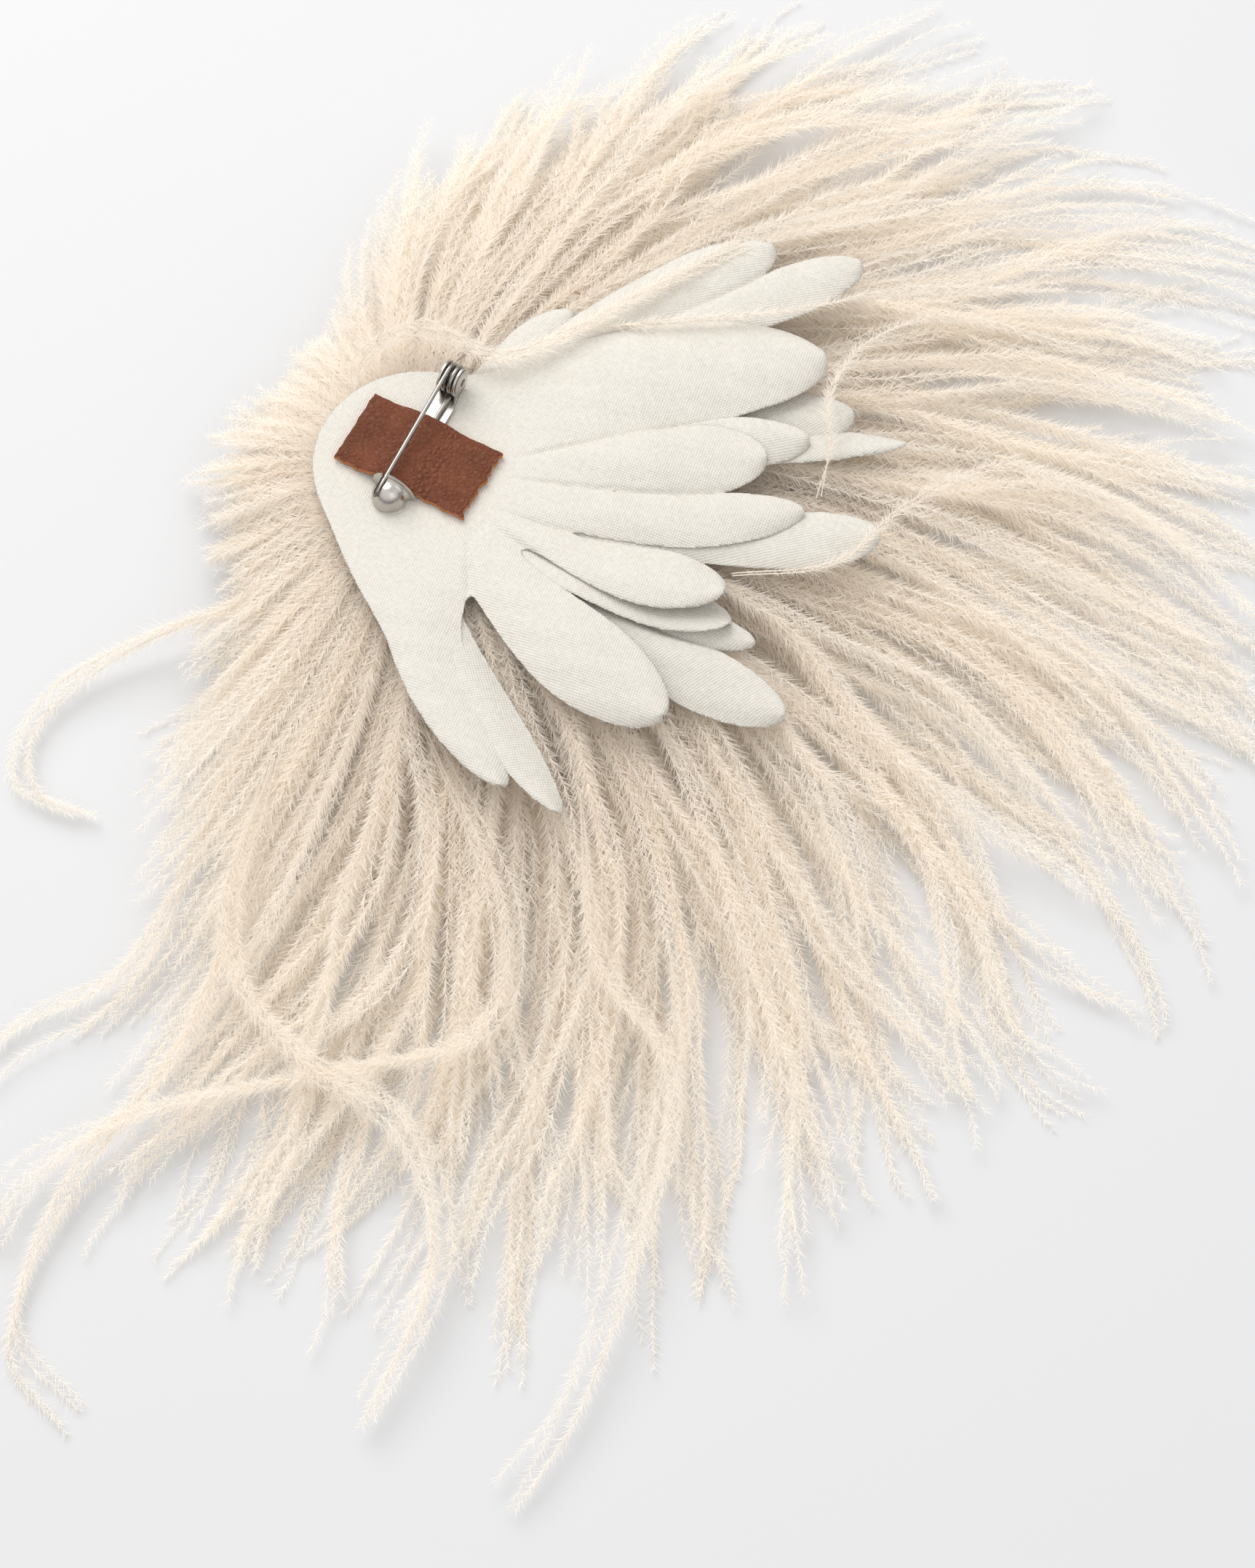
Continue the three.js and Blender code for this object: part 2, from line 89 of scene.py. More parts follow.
HOOD_RIM = 0.8
SLOT_HALF = 0.85  # half of the hood's slot over the needle
LEATHER_LENGTH = 30.5
LEATHER_WIDTH = 17.2
LEATHER_THICKNESS = 1.2
LEATHER_AHEAD = 2.6
LEATHER_ASIDE = 1.6
ARCH_SLOPE = 5.5
ARCH_RISE = 1.3  # of the leather's underside over the strip
FAN_TURN = 24.0  # how far a barb swings clockwise from its root to the reference reach
FAN_REFERENCE = 200.0
FAN_START = 102.0
LONG_SPREAD = 196.0
LONG_REACHES = [115, 155, 190, 205, 212, 212, 212, 208, 198, 194, 204, 204, 204, 198]
SHORT_REACHES = [140, 74, 54, 54, 57, 50, 62]
FAN_RIM_DROP = 9.0
PETAL_ROOT = 12.0
PETAL_DROOP = 7.0
DROOP_REACH = 90.0


def smoothstep(value, low, high):
    t = np.clip((value - low) / (high - low), 0.0, 1.0)
    return t * t * (3.0 - 2.0 * t)


def lerp(a, b, share):
    return a + (b - a) * share


# ---- Meshes ----
def finish_piece(obj, look, body="brooch", nodes=()):
    """Gives a new object its material, its body and the CAD nodes it stands for."""
    if look is not None:
        obj.data.materials.append(look)
    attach(obj, body)
    if nodes:
        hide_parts(*nodes)
    return obj


def new_object(name, points, faces, smooth_angle=None):
    """A mesh object from points in millimetres and faces of any length."""
    mesh = bpy.data.meshes.new(name)
    mesh.from_pydata((np.asarray(points) * MM).tolist(), [], faces)
    mesh.update()
    if smooth_angle is not None:
        mesh.shade_smooth()
        mesh.set_sharp_from_angle(angle=math.radians(smooth_angle))
    obj = bpy.data.objects.new(name, mesh)
    bpy.context.scene.collection.objects.link(obj)
    return obj


def new_triangles(name, points, triangles, uvs, shades):
    """A large mesh of triangles from arrays, with one map place and one shade for each point."""
    mesh = bpy.data.meshes.new(name)
    mesh.vertices.add(len(points))
    mesh.vertices.foreach_set("co", (points * MM).astype(np.float32).ravel())
    mesh.loops.add(triangles.size)
    mesh.loops.foreach_set("vertex_index", triangles.astype(np.int32).ravel())
    mesh.polygons.add(len(triangles))
    mesh.polygons.foreach_set("loop_start", np.arange(0, triangles.size, 3, dtype=np.int32))
    mesh.update(calc_edges=True)
    mesh.shade_smooth()
    layer = mesh.uv_layers.new(name="OFBake")
    layer.data.foreach_set("uv", uvs[triangles.ravel()].astype(np.float32).ravel())
    attribute = mesh.attributes.new("shade", "FLOAT", "POINT")
    attribute.data.foreach_set("value", shades.astype(np.float32))
    obj = bpy.data.objects.new(name, mesh)
    bpy.context.scene.collection.objects.link(obj)
    return obj


class Parts:
    """Collects points and faces of several shapes for one mesh."""

    def __init__(self):
        self.points = []
        self.faces = []

    def add(self, points, faces):
        start = sum(len(p) for p in self.points)
        self.points.append(np.asarray(points, float))
        self.faces += [[start + i for i in face] for face in faces]

    def object(self, name, place, smooth_angle):
        return new_object(name, place(np.concatenate(self.points)), self.faces, smooth_angle)


def loft_faces(rings, ring, close_ends=True, wrap=True):
    """Quads between rings of the same length, with fans of triangles left to the end faces."""
    faces = []
    for s in range(rings - 1):
        for k in range(ring if wrap else ring - 1):
            a = s * ring + k
            b = s * ring + (k + 1) % ring
            faces.append([a, b, b + ring, a + ring])
    if close_ends:
        faces.append(list(range(ring))[::-1])
        faces.append(list(range((rings - 1) * ring, rings * ring)))
    return faces


def tube(path, radii, sides=12):
    """Points and faces of a round tube along a path."""
    path = np.asarray(path, float)
    radii = np.broadcast_to(np.asarray(radii, float), (len(path),))
    tangents = np.gradient(path, axis=0)
    tangents /= np.linalg.norm(tangents, axis=1)[:, None]
    normal = np.cross(tangents[0], [0.0, 0.0, 1.0])
    if np.linalg.norm(normal) < 0.1:
        normal = np.cross(tangents[0], [0.0, 1.0, 0.0])
    points = []
    turns = 2 * math.pi * np.arange(sides) / sides
    for centre, tangent, radius in zip(path, tangents, radii):
        normal = normal - tangent * np.dot(normal, tangent)
        normal /= np.linalg.norm(normal)
        other = np.cross(tangent, normal)
        points.append(centre + radius * (np.outer(np.cos(turns), normal) + np.outer(np.sin(turns), other)))
    return np.concatenate(points), loft_faces(len(path), sides)


def lathe_y(profile, centre, steps=48):
    """A closed profile of (distance, y) turned about a line along Y through centre."""
    profile = np.asarray(profile, float)
    points = []
    for k in range(steps):
        a = 2 * math.pi * k / steps
        points.append(np.column_stack([
            centre[0] + profile[:, 0] * math.cos(a),
            centre[1] + profile[:, 1],
            centre[2] + profile[:, 0] * math.sin(a),
        ]))
    ring = len(profile)
    faces = []
    for k in range(steps):
        for i in range(ring):
            j = (i + 1) % ring
            a, b = k * ring, ((k + 1) % steps) * ring
            faces.append([a + i, a + j, b + j, b + i])
    return np.concatenate(points), faces


def extrude(outline, axis, low, high):
    """A prism on a closed outline. The outline's two coordinates are those left when axis is taken out."""
    outline = np.asarray(outline, float)
    rings = [np.insert(outline, axis, level, axis=1) for level in (low, high)]
    return np.concatenate(rings), loft_faces(2, len(outline))


# ---- Materials ----
class Look:
    """A node material built step by step round one Principled shader."""

    def __init__(self, name, colour, roughness, metallic=0.0):
        self.material = bpy.data.materials.new(name)
        self.material.use_nodes = True
        self.tree = self.material.node_tree
        self.shader = self.tree.nodes["Principled BSDF"]
        self.shader.inputs["Base Color"].default_value = (*colour, 1.0)
        self.shader.inputs["Roughness"].default_value = roughness
        self.shader.inputs["Metallic"].default_value = metallic

    def node(self, kind, **settings):
        made = self.tree.nodes.new(kind)
        for key, value in settings.items():
            if hasattr(made, key):
                setattr(made, key, value)
            else:
                made.inputs[key.replace("_", " ").title()].default_value = value
        return made

    def link(self, source, target):
        self.tree.links.new(source, target)

    def set(self, **sockets):
        for key, value in sockets.items():
            self.shader.inputs[key.replace("_", " ")].default_value = value

    def coordinates(self, scale=(1, 1, 1), turn=0.0):
        """Object coordinates, scaled and turned about Z."""
        where = self.node("ShaderNodeTexCoord")
        mapping = self.node("ShaderNodeMapping")
        mapping.inputs["Scale"].default_value = scale
        mapping.inputs["Rotation"].default_value = (0, 0, math.radians(turn))
        self.link(where.outputs["Object"], mapping.inputs["Vector"])
        return mapping.outputs["Vector"]

    def noise(self, vector, scale, detail=3.0, roughness=0.5):
        made = self.node("ShaderNodeTexNoise")
        made.inputs["Scale"].default_value = scale
        made.inputs["Detail"].default_value = detail
        made.inputs["Roughness"].default_value = roughness
        self.link(vector, made.inputs["Vector"])
        return made.outputs["Fac"]

    def wave(self, vector, pitch, direction, distortion=0.0):
        """Parallel ridges a pitch apart, in metres."""
        made = self.node("ShaderNodeTexWave", wave_type="BANDS", bands_direction=direction)
        made.inputs["Scale"].default_value = 2 * math.pi / (20 * pitch)
        made.inputs["Distortion"].default_value = distortion
        self.link(vector, made.inputs["Vector"])
        return made.outputs["Fac"]

    def ramp(self, value, stops):
        made = self.node("ShaderNodeValToRGB")
        elements = made.color_ramp.elements
        while len(elements) < len(stops):
            elements.new(0.5)
        for element, (position, colour) in zip(elements, stops):
            element.position = position
            element.color = (*colour, 1.0)
        self.link(value, made.inputs["Fac"])
        return made.outputs["Color"]

    def span(self, value, low, high):
        made = self.node("ShaderNodeMapRange")
        made.inputs["To Min"].default_value = low
        made.inputs["To Max"].default_value = high
        self.link(value, made.inputs["Value"])
        return made.outputs["Result"]

    def math(self, operation, a, b):
        made = self.node("ShaderNodeMath", operation=operation)
        for socket, value in zip(made.inputs, (a, b)):
            if isinstance(value, (int, float)):
                socket.default_value = value
            else:
                self.link(value, socket)
        return made.outputs["Value"]

    def translucent(self, colour, share):
        """Lets a share of the light through from behind."""
        through = self.node("ShaderNodeBsdfTranslucent")
        mix = self.node("ShaderNodeMixShader")
        mix.inputs["Fac"].default_value = share
        self.link(colour, through.inputs["Color"])
        self.link(self.shader.outputs["BSDF"], mix.inputs[1])
        self.link(through.outputs["BSDF"], mix.inputs[2])
        self.link(mix.outputs["Shader"], self.tree.nodes["Material Output"].inputs["Surface"])

    def bump(self, height, distance, strength=1.0):
        made = self.node("ShaderNodeBump")
        made.inputs["Distance"].default_value = distance
        made.inputs["Strength"].default_value = strength
        self.link(height, made.inputs["Height"])
        self.link(made.outputs["Normal"], self.shader.inputs["Normal"])


def satin_look(name, turn):
    """Off-white satin: a fine weave, a slight crêpe and a soft sheen."""
    look = Look(name, (0.73, 0.71, 0.66), 0.5)
    look.set(Sheen_Weight=0.25, Sheen_Roughness=0.4)
    flat = look.coordinates(turn=turn)
    warp = look.wave(flat, 0.00055, "X", 0.8)
    weft = look.wave(flat, 0.00055, "Y", 0.8)
    weave = look.math("MULTIPLY", warp, weft)
    crepe = look.noise(flat, 900.0, 4.0, 0.6)
    height = look.math("ADD", look.math("MULTIPLY", weave, 0.6), look.math("MULTIPLY", crepe, 0.8))
    # painted shade: the low spots of the weave and the crêpe are coloured darker and warmer, as if lying in
    # their own shade
    tone = look.ramp(height, [(0.15, (0.53, 0.485, 0.41)), (0.75, (0.70, 0.672, 0.615))])
    look.link(tone, look.shader.inputs["Base Color"])
    look.link(look.span(height, 0.38, 0.6), look.shader.inputs["Roughness"])
    look.bump(height, 0.0002, 0.8)
    return look.material


def feather_look():
    """Ostrich barbs: blush at the root, cream towards the tip, each strand a little different. The darker,
    warmer root is partly the feather's blush and partly painted tan shade of the fan's depths.
    """
    look = Look("feather", (0.88, 0.80, 0.70), 0.75)
    look.set(Sheen_Weight=0.15, Sheen_Roughness=0.5)
    shade = look.node("ShaderNodeAttribute", attribute_name="shade")
    # the darker, warmer stops at low shade values are partly the blush and partly painted tan shade
    tone = look.ramp(
        shade.outputs["Fac"],
        [(0.0, (0.975, 0.88, 0.775)), (0.35, (0.985, 0.925, 0.845)), (1.0, (0.99, 0.955, 0.90))],
    )
    look.link(tone, look.shader.inputs["Base Color"])
    look.translucent(tone, 0.55)
    return look.material


def leather_look():
    """The grain side: brown, pebbled, a little shine on the pebbles."""
    look = Look("leather", (0.17, 0.058, 0.030), 0.62)
    look.set(Specular_IOR_Level=0.28)
    where = look.coordinates()
    cells = look.node("ShaderNodeTexVoronoi", feature="DISTANCE_TO_EDGE")
    cells.inputs["Scale"].default_value = 900.0
    look.link(where, cells.inputs["Vector"])
    fine = look.noise(where, 2600.0, 3.0)
    patches = look.noise(where, 180.0, 3.0)
    pebbles = look.span(cells.outputs["Distance"], 0.0, 1.6)
    height = look.math("ADD", pebbles, look.math("MULTIPLY", fine, 0.35))
    tone = look.ramp(patches, [(0.3, (0.128, 0.037, 0.015)), (0.7, (0.178, 0.053, 0.022))])
    look.link(tone, look.shader.inputs["Base Color"])
    look.link(look.span(fine, 0.42, 0.7), look.shader.inputs["Roughness"])
    look.bump(height, 0.0005, 1.0)
    return look.material


def leather_edge_look():
    """The cut edge and the fibres it has shed: raw orange-brown."""
    look = Look("leather_edge", (0.52, 0.17, 0.045), 0.9)
    where = look.coordinates()
    fibres = look.noise(where, 3000.0, 4.0, 0.7)
    tone = look.ramp(fibres, [(0.3, (0.36, 0.10, 0.03)), (0.7, (0.66, 0.26, 0.08))])
    look.link(tone, look.shader.inputs["Base Color"])
    look.bump(fibres, 0.0002, 0.8)
    return look.material


def nickel_look(name, brightness):
    """Nickel plate with rolling marks and a little tarnish."""
    look = Look(name, (0.55, 0.52, 0.49), 0.22, 1.0)
    where = look.coordinates()
    tarnish = look.noise(where, 420.0, 4.0)
    marks = look.noise(look.coordinates(scale=(1, 1, 6), turn=-PIN_TURN), 1800.0, 2.0)
    dull, bright = np.outer([0.75, 1.0], brightness * np.array([0.60, 0.565, 0.52]))
    tone = look.ramp(tarnish, [(0.25, tuple(dull)), (0.6, tuple(bright))])
    look.link(tone, look.shader.inputs["Base Color"])
    look.link(look.span(tarnish, 0.14, 0.36), look.shader.inputs["Roughness"])
    look.bump(marks, 0.00002, 0.35)
    return look.material


def felt_look():
    """White wool felt."""
    look = Look("felt", (0.80, 0.76, 0.69), 0.95)
    look.set(Sheen_Weight=0.4, Sheen_Roughness=0.6)
    where = look.coordinates()
    fibres = look.noise(where, 2200.0, 6.0, 0.75)
    tone = look.ramp(fibres, [(0.3, (0.70, 0.65, 0.57)), (0.7, (0.86, 0.83, 0.77))])
    look.link(tone, look.shader.inputs["Base Color"])
    look.bump(fibres, 0.0003, 0.9)
    return look.material


# ---- Satin sheets ----
# Each petal: direction and reach of its tip from the hub's centre, width, how blunt its tip is, how far its
# root is turned from its tip, how far the tip lifts, how much one edge stands higher than the other, the
# share of its width at the root, and the share of its length at which it has its whole width.
Petal = namedtuple("Petal", "toward reach width blunt swing lift twist neck full", defaults=(0.2, 0.85))
UPPER_PETALS = [
    Petal(18, 91, 27, 0.46, 12, 1.5, 0.4, 0.95),
    Petal(2.5, 73.5, 17, 0.25, -3, 1.2, 0.5, 0.5),
    Petal(-6.5, 81.5, 14, 0.38, -17, 0.5, 0.4, 0.6),
    Petal(-24.5, 70.5, 15.5, 0.28, -15, 2.0, -0.8, 0.1),
    Petal(-48.5, 77, 22, 0.38, -12, 1.5, 0.6, 0.45),
    Petal(-75.5, 75, 15.5, 0.5, -21, 0.5, -1.0, 2.6, 0.5),
]
MIDDLE_PETALS = [
    Petal(37, 95, 14, 0.22, 9, 2.0, 0.6, 0.6),
    Petal(29.8, 109.5, 12.5, 0.18, 3, 2.5, 0.5, 0.6),
    Petal(6, 83, 13, 0.3, 0, 1.5, 0.8),
    Petal(-8, 98, 13.5, 0.18, -14, 2.0, 0.6, 0.95),
    Petal(-28, 74, 14, 0.3, -14, 0.5, -1.6, 0.8),
    Petal(-68.5, 83, 12, 0.5, -15, 0.5, -1.6),
]
LOWER_PETALS = [
    Petal(50.5, 50.5, 11, 0.4, 5, 0.5, 0.3, 0.6),
    Petal(10.5, 94, 16, 0.3, 0, 1.0, 0.6),
    Petal(5.5, 104, 13, 0.8, 2, 2.5, -0.8),
    Petal(-28.5, 80, 13, 0.5, -15, 0.5, 0.5),
    Petal(-35.5, 93.5, 15, 0.25, -12, 1.0, 0.8),
]
CLOTH_PITCH = 0.55  # of the grid that a sheet is cut from
CLOTH_THICKNESS = 0.35
CLOTH_MIDDLE = 0.35  # from the top of a sheet in the frame down to the middle surface of the cloth
CLOTH_TRIM = 0.17  # taken off all round the outline
CLOTH_UNEVEN = 0.035  # of the cut edge
TIP_GAP = 0.8  # how much further apart two sheets are at their petals' tips than at the hub
CROWN = 1.3  # height of a broad petal's middle above its edges
RIPPLE = 0.3  # height of the waves along a petal
CREASE = 0.12  # height of the soft creases across the whole sheet
WEB = 2.6  # size of the rounds between petals at the hub
WEB_OUTSIDE = 0.25  # size of those rounds away from the hub
GROOVE = 0.55  # depth of the crease where two petals meet
GROOVE_WIDTH = 1.1
OUTSIDE = -9.0  # stands for a distance well outside every petal


def droop(distance):
    """How far a sheet has sunk at a distance from the hub's centre."""
    beyond = np.maximum(0.0, distance - HUB_RADIUS) / (DROOP_REACH - HUB_RADIUS)
    return PETAL_DROOP * beyond ** 1.5


def petal_share(along, petal):
    """Share of a petal's width along its length, from its neck to its closed tip."""
    tip = np.maximum(0.0, along - (1 - petal.blunt)) / petal.blunt
    return lerp(petal.neck, 1, smoothstep(along, 0, petal.full)) * np.sqrt(np.maximum(0.0, 1 - tip * tip))


def petal_place(x, y, petal):
    """Where points lie on a petal: along it, beside its axis in millimetres, and its half width there."""
    distance = np.hypot(x, y)
    along = (distance - PETAL_ROOT) / (petal.reach - PETAL_ROOT)
    axis = np.radians(petal.toward + petal.swing * (1 - along))
    turn = np.arctan2(y, x) - axis
    turn = (turn + math.pi) % (2 * math.pi) - math.pi
    beside = distance * turn
    half = petal.width / 2 * petal_share(np.clip(along, 0, 1), petal)
    half = np.where(along > 1, -(distance - petal.reach), half)
    half = np.where(along < 0, -(PETAL_ROOT - distance), half)
    return along, beside, half


def cloth_field(x, y, petals, hub_radius, seed):
    """Positive inside the cloth, in millimetres from its cut edge, which is a little uneven.

    Near the hub the shapes run into each other in rounds, and further out they are apart.
    """
    distance = np.hypot(x, y)
    shapes = [hub_radius - distance]
    for petal in petals:
        _, beside, half = petal_place(x, y, petal)
        shapes.append(half - np.abs(beside))
    highest = np.maximum.reduce(shapes)
    blend = lerp(WEB, WEB_OUTSIDE, smoothstep(distance, 24, 40))
    field = highest + blend * np.log(sum(np.exp((shape - highest) / blend) for shape in shapes))
    uneven = np.sin(x * 2.9 + seed) * np.sin(y * 3.7 + 2 * seed) + np.sin(x * 1.1 - y * 1.3 + seed)
    return field - CLOTH_TRIM + CLOTH_UNEVEN * uneven


def cloth_height(x, y, petals, level, hub_radius):
    """Height of the cloth's middle surface.

    The hub is flat, and each petal is crowned and lifts at its tip.
    """
    distance = np.hypot(x, y)
    base = BACK_HEIGHT - level * SHEET_PITCH - CLOTH_MIDDLE - droop(distance)
    base = base - level * TIP_GAP * smoothstep(distance, 25, 90)
    weight = np.maximum(0.0, hub_radius - distance) + 0.05
    shift = np.zeros_like(x)
    first, second = np.full_like(x, OUTSIDE), np.full_like(x, OUTSIDE)
    for petal in petals:
        along, beside, half = petal_place(x, y, petal)
        inside = np.maximum(0.0, half - np.abs(beside)) * (along > 0) * 2.0
        across = np.clip(beside / np.maximum(half, 0.5), -1, 1)
        rise = smoothstep(along, 0.1, 0.6)
        crown = CROWN * (petal.width / 20) * (1 - across ** 2) * rise
        ripple = RIPPLE * np.sin(along * 9 + petal.toward) * rise
        mine = crown + petal.lift * np.clip(along, 0, 1) ** 2 + petal.twist * across * rise + ripple
        shift = shift + inside * mine
        weight = weight + inside
        edge = np.where(along > 0.02, half - np.abs(beside), OUTSIDE)
        first, second = np.maximum(first, edge), np.maximum(second, np.minimum(first, edge))
    creases = CREASE * np.sin(x * 0.35 + y * 0.5) * np.sin(x * 0.21 - y * 0.4) * smoothstep(distance, 15, 40)
    meeting = np.exp(-((first - second) / GROOVE_WIDTH) ** 2) * smoothstep(second, -4.0, 0.5)
    groove = GROOVE * meeting * smoothstep(distance, 16, 30)
    return base + shift / weight + creases - groove


def cut_cloth(petals, hub_radius, seed):
    """Points and faces of the flat cut, by marching over a grid of squares."""
    span = max(petal.reach for petal in petals) + 3
    count = int(2 * span / CLOTH_PITCH)
    line = (np.arange(count + 1) - count / 2) * CLOTH_PITCH
    x, y = np.meshgrid(line, line, indexing="ij")
    field = cloth_field(x, y, petals, hub_radius, seed)
    points, index, faces = [], {}, []

    def corner(i, j):
        key = (i, j)
        if key not in index:
            index[key] = len(points)
            points.append((x[i, j], y[i, j]))
        return index[key]

    def crossing(a, b):
        key = (min(a, b), max(a, b))
        if key not in index:
            (i, j), (k, m) = key
            share = field[i, j] / (field[i, j] - field[k, m])
            share = min(0.9, max(0.1, share))
            index[key] = len(points)
            points.append((lerp(x[i, j], x[k, m], share), lerp(y[i, j], y[k, m], share)))
        return index[key]

    inside = field > 0
    touched = inside[:-1, :-1] | inside[1:, :-1] | inside[1:, 1:] | inside[:-1, 1:]
    for i, j in zip(*np.nonzero(touched)):
        ring = [(i, j), (i + 1, j), (i + 1, j + 1), (i, j + 1)]
        face = []
        for a, b in zip(ring, ring[1:] + ring[:1]):
            if inside[a]:
                face.append(corner(*a))
            if inside[a] != inside[b]:
                face.append(crossing(a, b))
        if len(face) > 2:
            faces.append(face)
    return np.array(points), faces


def satin_sheet(name, petals, level, look):
    """One sheet of satin, cut flat and then shaped by moving its points up and down."""
    hub_radius = HUB_RADIUS - level * HUB_STEP
    flat, faces = cut_cloth(petals, hub_radius, 1.7 * (level + 1))
    height = cloth_height(flat[:, 0], flat[:, 1], petals, level, hub_radius)
    points = np.column_stack([flat + HUB, height])
    sheet = new_object(name + "_sheet", points, faces, 180)
    solid = sheet.modifiers.new("thickness", "SOLIDIFY")
    solid.thickness = CLOTH_THICKNESS * MM
    solid.offset = 0
    finish_piece(sheet, look, nodes=[name])
    return sheet


# ---- Feathers ----
FAN_UNDERSIDE = 21.7  # height of the lowest barbs at the hub
BARB_STEP = 3.0  # between the points of a barb's line
BARB_LOWEST = 1.0  # height above the table that a barb keeps
BARBULE_LOWEST = 0.15
PLUME_SEED = 100
RUFF_SEED = 300
STRAY_SEED = 400
RUFF_BARBS = 130


def fan_top(distance):
    """Height of the fan's upper side at a distance from the hub's centre."""
    under = FELT_TOP - 0.5 - droop(np.minimum(distance, DROOP_REACH))
    beyond = np.maximum(0.0, distance - DROOP_REACH) / (FAN_REFERENCE - DROOP_REACH)
    return lerp(STEM_TOP, under - FAN_RIM_DROP * beyond, smoothstep(distance, FELT_RADIUS, FELT_RADIUS + 12))


def fan_bottom(distance, landing):
    """Height of the fan's underside, which meets the table at the landing distance."""
    down = np.clip((distance - HUB_RADIUS) / (landing - HUB_RADIUS), 0, 1)
    return FAN_UNDERSIDE * (1 - down) ** 1.4


def swing(distance):
    """How far a barb has swung clockwise at a distance from the hub, in degrees."""
    return FAN_TURN * np.maximum(0.0, (distance - HUB_RADIUS) / (FAN_REFERENCE - HUB_RADIUS))


def unit(vectors):
    """The vectors' directions, each of length 1."""
    return vectors / np.linalg.norm(vectors, axis=-1, keepdims=True)


def at(values, length, places):
    """Values along a path at places given by length."""
    return np.column_stack([np.interp(places, length, values[:, k]) for k in range(3)])


def about_hub(distance, angle):
    """x and y of points at distances and angles about the hub's centre."""
    return HUB[0] + distance * np.cos(angle), HUB[1] + distance * np.sin(angle)


def barb_path(rng, root, reach, landing, level, sway):
    """The line of one barb, from the quills at the hub out to its tip.

    sway is (size in millimetres, wave length, phase), which the barbs of one clump share.
    """
    distance = np.append(np.arange(STEM_START, reach - BARB_STEP / 2, BARB_STEP), reach)
    share = distance / reach
    size, wave, phase = sway
    beside = size * share ** 1.5 * np.sin(2 * math.pi * distance / wave + phase)
    beside += 0.12 * size * share * np.sin(2 * math.pi * distance / rng.uniform(25, 45) + rng.uniform(0, 6))
    beside += rng.normal(0, 1.6) * share
    angle = np.radians(root - swing(distance)) + beside / np.maximum(distance, 30)
    top, bottom = fan_top(distance), fan_bottom(distance, landing)
    place = level * (1 - 0.45 * share ** 3)
    height = lerp(bottom, top, place) + 0.8 * np.sin(distance / 17 + rng.uniform(0, 6)) * share
    return np.column_stack([*about_hub(distance, angle), np.maximum(height, BARB_LOWEST)])


